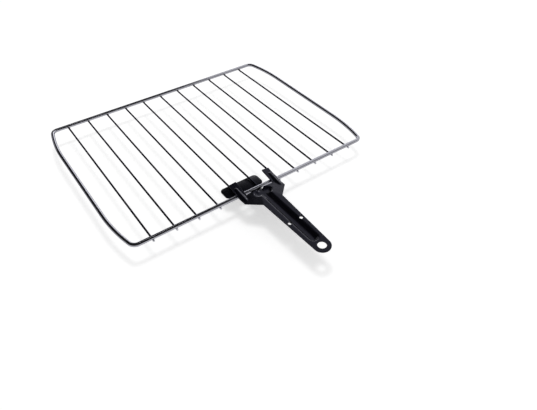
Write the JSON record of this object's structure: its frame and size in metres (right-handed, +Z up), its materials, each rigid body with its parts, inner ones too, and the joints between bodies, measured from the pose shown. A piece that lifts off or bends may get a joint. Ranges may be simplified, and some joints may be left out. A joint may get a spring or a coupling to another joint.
{
  "type": "mini oven rack with lifting handle",
  "caption": "Rectangular wire rack for a mini oven, with a slide-on pressed-steel lifting handle on its front rail.",
  "frame": {"origin": "middle of the part's bounding box, at the underside of the lower jaw", "axes": "+X along the front rail to the right, +Y along the wires away from the handle, +Z up"},
  "size_m": [0.37, 0.4154, 0.0155],
  "materials": {
    "frame_chrome": "polished",
    "wire_chrome": "polished",
    "handle_paint": "semi-gloss",
    "jaw_paint": "semi-gloss"
  },
  "bodies": {
    "rack": {"front_rail": "frame_chrome", "rear_rail": "frame_chrome", "left_rail": "frame_chrome", "right_rail": "frame_chrome", "bend_front_left": "frame_chrome", "bend_front_right": "frame_chrome", "bend_rear_left": "frame_chrome", "bend_rear_right": "frame_chrome", "sweep_front_left": "frame_chrome", "sweep_front_right": "frame_chrome", "sweep_rear_left": "frame_chrome", "sweep_rear_right": "frame_chrome", "cross_wire_01": "wire_chrome", "cross_wire_02": "wire_chrome", "cross_wire_03": "wire_chrome", "cross_wire_04": "wire_chrome", "cross_wire_05": "wire_chrome", "cross_wire_06": "wire_chrome", "cross_wire_07": "wire_chrome", "cross_wire_08": "wire_chrome", "cross_wire_09": "wire_chrome", "cross_wire_10": "wire_chrome", "cross_wire_11": "wire_chrome"},
    "handle": {"handle_plate": "handle_paint", "lower_jaw": "jaw_paint"}
  },
  "joints": [
    {"name": "handle_draw", "type": "slide", "parent": "rack", "child": "handle", "axis": [0, -1, 0], "range_m": [0, 0.05]}
  ]
}
